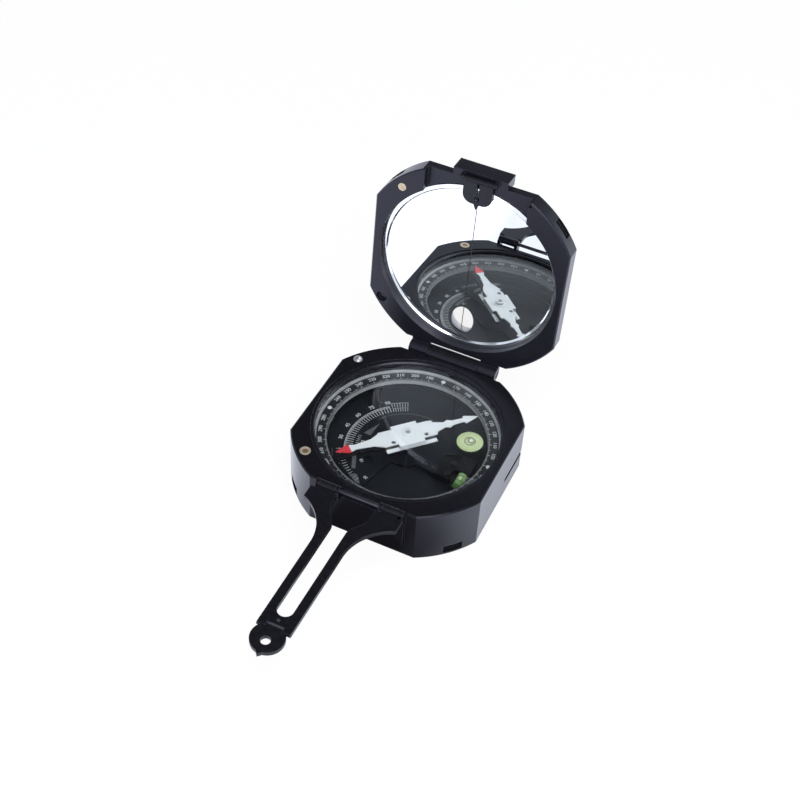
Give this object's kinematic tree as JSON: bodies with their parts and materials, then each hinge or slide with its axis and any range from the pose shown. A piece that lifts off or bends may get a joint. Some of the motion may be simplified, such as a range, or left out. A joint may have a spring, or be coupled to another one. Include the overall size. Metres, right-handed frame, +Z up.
{
  "type": "pocket transit compass",
  "caption": "Folding pocket transit: flat-sided compass case with mirror lid, slotted sight arm, peep and front sights, levels, clinometer and needle.",
  "frame": {"origin": "on the needle's axis, in the plane of the underside of the case", "axes": "+Z up out of the dial, +Y towards the lid's hinge, -Y along the unfolded sight arm, +X to the side with the levels"},
  "size_m": [0.065, 0.1464, 0.0887],
  "materials": {
    "black_enamel": "satin black enamel on cast metal",
    "dial_blue_black": "semi-matt blue-black, printed",
    "black_plastic": "matt black",
    "brass": "turned",
    "steel": "plain turned or stamped",
    "bright_steel": "bright",
    "needle_white": "gloss white with a red north tip",
    "level_fluid_pale": "clear vial with pale yellow-green fluid",
    "level_fluid_green": "clear vial with green fluid",
    "dial_glass": "clear",
    "mirror": "silvered glass",
    "gasket_rubber": "matt",
    "pad_fabric": "cork and felt pad"
  },
  "bodies": {
    "case": {"case_body": "black_enamel", "clinometer_bush": "brass", "dial_plate": "dial_blue_black", "dial_screws": "steel", "lift_bush": "brass", "lift_bracket": "steel", "lift_lever_pin": "steel", "lift_spring": "steel", "brake_spring": "steel", "glass_gasket": "gasket_rubber", "dial_glass": "dial_glass", "bezel_ring": "black_enamel", "lid_hinge_pin": "steel", "arm_hinge_pin": "steel"},
    "graduated_ring": {"graduated_ring": "dial_blue_black"},
    "declination_pinion": {"declination_pinion": "steel"},
    "clinometer": {"clinometer_shaft": "black_plastic", "vernier_plate": "dial_blue_black", "level_housing": "black_plastic", "level_screws": "steel", "tubular_level": "level_fluid_green", "round_level_cup": "black_plastic", "round_level_vial": "level_fluid_pale", "friction_washer": "steel", "clinometer_lever": "steel", "lever_screw": "steel", "pivot_pin": "steel"},
    "needle": {"needle_blade": "needle_white", "needle_magnet": "steel", "needle_cap": "bright_steel"},
    "lift_pin": {"lift_pin": "steel"},
    "lift_lever": {"lift_lever": "steel"},
    "brake_button": {"brake_button": "bright_steel"},
    "lid": {"lid_frame": "black_enamel", "mirror_pad": "pad_fabric", "mirror_glass": "mirror", "mirror_ring": "bright_steel", "lid_stud": "brass", "front_sight_pin": "steel"},
    "front_sight": {"front_sight": "black_enamel"},
    "sight_arm": {"sight_arm": "black_enamel", "peep_pin": "steel"},
    "peep_sight": {"peep_sight": "black_enamel"}
  },
  "joints": [
    {"name": "lid_hinge", "type": "hinge", "parent": "case", "child": "lid", "pos_m": [0, 0.0352, 0.019], "axis": [-1, 0, 0], "range_deg": [-94, 41]},
    {"name": "front_sight_hinge", "type": "hinge", "parent": "lid", "child": "front_sight", "pos_m": [0, 0.04252, 0.08706], "axis": [-1, 0, 0], "range_deg": [0, 180]},
    {"name": "arm_hinge", "type": "hinge", "parent": "case", "child": "sight_arm", "pos_m": [0, -0.0343, 0.0204], "axis": [1, 0, 0], "range_deg": [-180, 0]},
    {"name": "peep_hinge", "type": "hinge", "parent": "sight_arm", "child": "peep_sight", "pos_m": [0, -0.0872, 0.0204], "axis": [-1, 0, 0], "range_deg": [0, 90]},
    {"name": "needle_spin", "type": "hinge", "parent": "case", "child": "needle", "pos_m": [0, 0, 0.0158], "axis": [0, 0, 1], "continuous": true},
    {"name": "clinometer_turn", "type": "hinge", "parent": "case", "child": "clinometer", "pos_m": [0, 0, 0.0048], "axis": [0, 0, 1], "range_deg": [-90, 90]},
    {"name": "ring_turn", "type": "hinge", "parent": "case", "child": "graduated_ring", "pos_m": [0, 0, 0.0126], "axis": [0, 0, 1], "continuous": true},
    {"name": "pinion_turn", "type": "hinge", "parent": "case", "child": "declination_pinion", "pos_m": [-0.0275, 0, 0.0105], "axis": [1, 0, 0], "continuous": true},
    {"name": "lift_press", "type": "slide", "parent": "case", "child": "lift_pin", "axis": [0, 0, -1], "range_m": [0, 0.0002], "stiffness_N_per_m": 300, "deforming": ["lift_spring"]},
    {"name": "lift_lever_tilt", "type": "hinge", "parent": "case", "child": "lift_lever", "pos_m": [-0.0193, -0.0193, 0.0104], "axis": [0.7071, -0.7071, 0], "range_deg": [0, 1.9]},
    {"name": "brake_press", "type": "slide", "parent": "case", "child": "brake_button", "axis": [0, 0, -1], "range_m": [0, 0.0008], "stiffness_N_per_m": 400, "deforming": ["brake_spring"]}
  ],
  "couplings": [
    {"joint": "pinion_turn", "follows": "ring_turn", "ratio": 13.8},
    {"joint": "lift_lever_tilt", "follows": "lift_press", "rad_per_m": 151.51}
  ]
}
